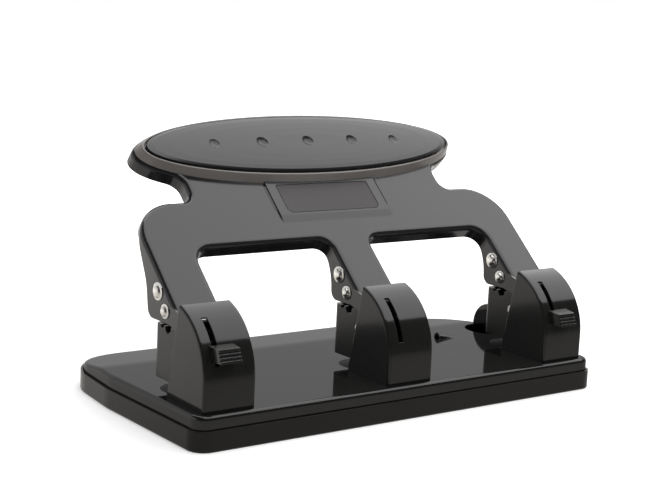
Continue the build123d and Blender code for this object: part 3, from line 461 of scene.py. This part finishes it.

# Grip ring: a moulded surround of warm black ABS, screwed to the lever
# from behind. Its colour is painted a mid warm grey, a painted sheen that
# stands in for the lamp's reflection on the glossy plastic. Its fine mould
# grain is drawn at 0.6 mm to show.
ring_abs, shader = new_material("black_abs_painted_lamp_sheen")
place = put(ring_abs, "ShaderNodeTexCoord").outputs["Object"]
grain = put(ring_abs, "ShaderNodeTexNoise", {"Scale": 1 / (0.6 * MM), "Detail": 2.0}, {"Vector": place})
# Painted sheen: this mid warm grey stands in for the lamp's reflection on the black plastic; only the grain's
# small changes are the plastic's own
tone = put(ring_abs, "ShaderNodeMix", {"data_type": "RGBA", 6: srgb("#6b6764"), 7: srgb("#716d6a")},
           {0: grain.outputs["Fac"]})
edge = put(ring_abs, "ShaderNodeBevel", {"samples": EDGE_SAMPLES, "Radius": 0.3 * MM})
relief = put(ring_abs, "ShaderNodeBump", {"Strength": 0.15, "Distance": 0.03 * MM},
             {"Height": grain.outputs["Fac"], "Normal": edge.outputs["Normal"]})
shader.inputs["Roughness"].default_value = 0.24
ring_abs.node_tree.links.new(tone.outputs[2], shader.inputs["Base Color"])
ring_abs.node_tree.links.new(relief.outputs["Normal"], shader.inputs["Normal"])
dress("grip_ring", ring_abs)

# Grip pad: a moulded rubber top with a low crown and five finger dimples. It
# is pressed into the ring.
pad_patch = 33.3 * MM
pad_rubber, shader = new_material("smooth_moulded_rubber")
place = put(pad_rubber, "ShaderNodeTexCoord").outputs["Object"]
bloom = put(pad_rubber, "ShaderNodeTexNoise", {"Scale": 1 / pad_patch, "Detail": 4.0}, {"Vector": place})
tone = put(pad_rubber, "ShaderNodeMix", {"data_type": "RGBA", 6: srgb("#1f1f21"), 7: srgb("#262628")},
           {0: bloom.outputs["Fac"]})
sheen = put(pad_rubber, "ShaderNodeMapRange", {"To Min": 0.24, "To Max": 0.32},
            {"Value": bloom.outputs["Fac"]})
shader.inputs["Specular IOR Level"].default_value = 0.55
pad_rubber.node_tree.links.new(tone.outputs[2], shader.inputs["Base Color"])
pad_rubber.node_tree.links.new(sheen.outputs["Result"], shader.inputs["Roughness"])
dress("grip_pad", pad_rubber)

# Label plate: a thin bare plate of matt plastic, stuck to the floor of its seat
# in the lever. It is warm grey, with a faint grain drawn at 0.5 mm.
label_sheet, shader = new_material("matt_label_plate")
place = put(label_sheet, "ShaderNodeTexCoord").outputs["Object"]
grain = put(label_sheet, "ShaderNodeTexNoise", {"Scale": 1 / (0.5 * MM), "Detail": 2.0}, {"Vector": place})
tone = put(label_sheet, "ShaderNodeMix", {"data_type": "RGBA", 6: srgb("#353232"), 7: srgb("#3b3737")},
           {0: grain.outputs["Fac"]})
shader.inputs["Roughness"].default_value = 0.6
label_sheet.node_tree.links.new(tone.outputs[2], shader.inputs["Base Color"])
dress("label_plate", label_sheet)

# Screws: zinc-plated pan heads with a cross recess, driven up through the plate
# into the frames' floors, and from behind the lever into the grip.
FRAME_SCREW_PLACES = (-30.0 * MM, -20.0 * MM)
FRAME_SCREW_RADIUS = 3.0 * MM
FRAME_SCREW_HEAD = 1.5 * MM
GRIP_SCREW_PLACES = (-75.0 * MM, -27.0 * MM, 27.0 * MM, 75.0 * MM)
GRIP_SCREW_RADIUS = 3.6 * MM
GRIP_SCREW_HEAD = 1.8 * MM
GRIP_SCREW_LENGTH = 5.1 * MM
# The grip's screws reach this far in front of the lever's face
GRIP_SCREW_REACH = 1.8 * MM
# The shank and the cross in shares of the head's radius, and the cross's depth
# in a share of the head's height
SHANK_SHARE = 0.5
CROSS_WIDTH = 0.24
CROSS_DEPTH = 0.55
# The lever's face starts at its foot and leans back, and the grip's centre lies along it
LEVER_TILT = radians(42.0)
LEVER_FOOT = Vector((0, -9.9, 60.0)) * MM
GRIP_CENTRE = 96.6 * MM
grip_back = LEVER_FOOT + Vector((0, cos(LEVER_TILT), sin(LEVER_TILT))) * GRIP_CENTRE
grip_way = Vector((0, sin(LEVER_TILT), -cos(LEVER_TILT)))
frame_low, frame_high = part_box("frame_screws")
frame_length = frame_high.z - frame_low.z
screws = (
    ("frame_screws", "base", FRAME_SCREW_RADIUS, frame_length, FRAME_SCREW_HEAD,
     [((x * spacing, y, frame_high.z), (0, 0, -1)) for x in (-1, 0, 1) for y in FRAME_SCREW_PLACES]),
    ("grip_screws", "lever", GRIP_SCREW_RADIUS, GRIP_SCREW_LENGTH, GRIP_SCREW_HEAD,
     [(Vector((x, 0, 0)) + grip_back - grip_way * GRIP_SCREW_REACH, grip_way) for x in GRIP_SCREW_PLACES]),
)
for name, body, radius, length, head_height, places in screws:
    face = 1 - head_height / length
    rise = 1 - face
    profile = [(0.0, 0.0), (SHANK_SHARE * 0.8, 0.0), (SHANK_SHARE, 0.06), (SHANK_SHARE, face), (0.94, face),
               (1.0, face + 0.06 * rise), (1.0, face + 0.4 * rise), (0.97, face + 0.62 * rise),
               (0.88, face + 0.8 * rise), (0.76, face + 0.9 * rise), (0.68, face + 0.95 * rise),
               (0.6, face + 0.97 * rise), (0.5, face + 0.98 * rise), (0.4, face + 0.99 * rise),
               (0.3, 1.0), (0.22, 1.0), (0.15, 1.0), (0.08, 1.0), (0.0, 1.0)]
    tree = turned_tree(f"{name}_turned", profile, pin_zinc)
    driven = turned_pieces(f"{name}_crossed", tree, places,
                           {"Radius": radius, "Length": length, "Recess Depth": CROSS_DEPTH * head_height,
                            "Recess Width": CROSS_WIDTH * radius})
    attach(driven, body)
    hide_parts(name)

# Floor: a plain white sweep that keeps the punch's shadow. The camera sees it
# white, and reflections see it bright behind the punch and dim in front.
FLOOR_HALF = 4.0
floor_mesh = bpy.data.meshes.new("floor")
floor_mesh.from_pydata(
    [(x * FLOOR_HALF, y * FLOOR_HALF, 0) for x, y in ((-1, -1), (1, -1), (1, 1), (-1, 1))], [], [(0, 1, 2, 3)]
)
floor = bpy.data.objects.new("floor", floor_mesh)
bpy.context.collection.objects.link(floor)
floor_white, shader = new_material("white_sweep")
shader.inputs["Base Color"].default_value = srgb("#e4e4e4")
shader.inputs["Roughness"].default_value = 0.9
shader.inputs["Specular IOR Level"].default_value = 0.0
path = put(floor_white, "ShaderNodeLightPath")
place = put(floor_white, "ShaderNodeTexCoord").outputs["Object"]
away = put(floor_white, "ShaderNodeVectorMath", {"operation": "LENGTH"}, {0: place})
far = put(floor_white, "ShaderNodeMapRange",
          {"From Min": 0.25, "From Max": 0.7, "To Min": 0.35, "To Max": 1.0},
          {"Value": away.outputs["Value"]})
seen = put(floor_white, "ShaderNodeMath", {"operation": "MAXIMUM"},
           {0: path.outputs["Is Camera Ray"], 1: path.outputs["Is Transmission Ray"]})
lift = put(floor_white, "ShaderNodeMath", {"operation": "MULTIPLY"},
           {0: seen.outputs[0], 1: far.outputs["Result"]})
glow = put(floor_white, "ShaderNodeEmission", {"Color": srgb("#ffffff")}, {"Strength": lift.outputs[0]})
lit = put(floor_white, "ShaderNodeAddShader", {}, {0: shader.outputs["BSDF"], 1: glow.outputs["Emission"]})
axes = put(floor_white, "ShaderNodeSeparateXYZ", {}, {0: place})
depth = put(floor_white, "ShaderNodeMapRange",
            {"From Min": -0.3, "From Max": 0.35, "To Min": 0.1, "To Max": 1.4}, {"Value": axes.outputs["Y"]})
mirrored = put(floor_white, "ShaderNodeEmission", {"Color": srgb("#fffbf6")},
               {"Strength": depth.outputs["Result"]})
both = put(floor_white, "ShaderNodeMixShader", {},
           {0: path.outputs["Is Glossy Ray"], 1: lit.outputs[0], 2: mirrored.outputs["Emission"]})
surface = floor_white.node_tree.nodes["Material Output"].inputs["Surface"]
floor_white.node_tree.links.new(both.outputs[0], surface)
floor_mesh.materials.append(floor_white)

# World: white behind the punch. The reflections see a bright wall behind it and
# a dark room above and in front, and a soft grey fills the shadows.
world = bpy.data.worlds.new("studio")
bpy.context.scene.world = world
world.use_nodes = True
path = put(world, "ShaderNodeLightPath")
way = put(world, "ShaderNodeSeparateXYZ", {}, {0: put(world, "ShaderNodeTexCoord").outputs["Generated"]})
behind = put(world, "ShaderNodeMapRange", {"From Min": -0.25, "From Max": 0.2}, {"Value": way.outputs["Y"]})
low = put(world, "ShaderNodeMapRange", {"From Min": 0.5, "From Max": 0.7, "To Min": 1.0, "To Max": 0.0},
          {"Value": way.outputs["Z"]})
wall = put(world, "ShaderNodeMath", {"operation": "MULTIPLY"},
           {0: behind.outputs["Result"], 1: low.outputs["Result"]})
room = put(world, "ShaderNodeMapRange", {"To Min": 0.06, "To Max": 0.9}, {"Value": wall.outputs[0]})
seen = put(world, "ShaderNodeMath", {"operation": "MAXIMUM"},
           {0: path.outputs["Is Camera Ray"], 1: path.outputs["Is Transmission Ray"]})
fill = put(world, "ShaderNodeMapRange", {"To Min": 0.35, "To Max": 1.0}, {"Value": seen.outputs[0]})
level = put(world, "ShaderNodeMix", {"data_type": "FLOAT"},
            {0: path.outputs["Is Glossy Ray"], 2: fill.outputs["Result"], 3: room.outputs["Result"]})
sky = world.node_tree.nodes["Background"]
sky.inputs["Color"].default_value = srgb("#ffffff")
world.node_tree.links.new(level.outputs[0], sky.inputs["Strength"])

# Soft box: one large lamp that hangs level overhead, to the right, as in a
# plain product studio. Its size is what shows as the broad light on the lever.
lamp = bpy.data.lights.new("soft_box", "AREA")
lamp.shape = "RECTANGLE"
lamp.size, lamp.size_y = 2.2, 2.6
lamp.energy = 44.0
soft_box = bpy.data.objects.new("soft_box", lamp)
soft_box.location = (0.7, 0.2, 1.3)
bpy.context.collection.objects.link(soft_box)

bpy.context.scene.view_settings.view_transform = "Standard"
